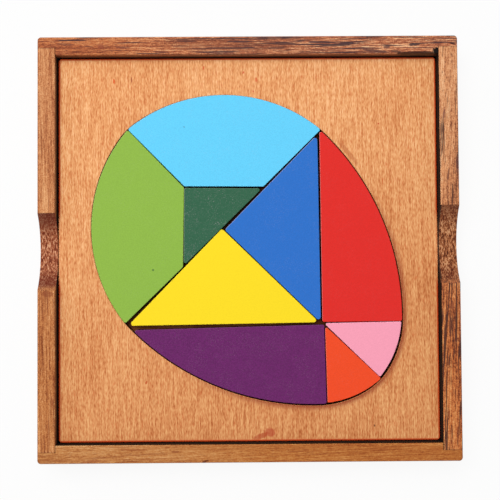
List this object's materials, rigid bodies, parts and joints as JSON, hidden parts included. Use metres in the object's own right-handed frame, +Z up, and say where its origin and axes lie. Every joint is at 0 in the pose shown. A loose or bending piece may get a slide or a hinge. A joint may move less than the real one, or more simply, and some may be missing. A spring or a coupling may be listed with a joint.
{
  "type": "egg tangram puzzle",
  "caption": "Egg-shaped cut-up puzzle of flat painted wooden pieces in a recessed drop-in board, kept in a shallow square wooden box with finger notches.",
  "frame": {"origin": "middle of the box's underside", "axes": "+X to the right and +Y to the back wall as seen from above with the egg's pointed end at the right front, +Z up out of the open top"},
  "size_m": [0.1548, 0.1562, 0.02],
  "materials": {
    "stained_wood": "satin stain",
    "floor_wood": "matt stain",
    "backing_wood": "matt stain",
    "board_plywood": "satin stain",
    "paint_light_blue": "satin paint",
    "paint_light_green": "satin paint",
    "paint_dark_green": "satin paint",
    "paint_yellow": "satin paint",
    "paint_blue": "satin paint",
    "paint_red": "satin paint",
    "paint_pink": "satin paint",
    "paint_orange": "satin paint",
    "paint_purple": "satin paint"
  },
  "bodies": {
    "root": {"wall_back": "stained_wood", "wall_front": "stained_wood", "wall_left": "stained_wood", "wall_right": "stained_wood", "floor_panel": "floor_wood", "tray_backing": "backing_wood", "tray_board": "board_plywood", "piece_light_blue": "paint_light_blue", "piece_light_green": "paint_light_green", "piece_dark_green": "paint_dark_green", "piece_yellow": "paint_yellow", "piece_blue": "paint_blue", "piece_red": "paint_red", "piece_pink": "paint_pink", "piece_orange": "paint_orange", "piece_purple": "paint_purple"}
  },
  "joints": []
}
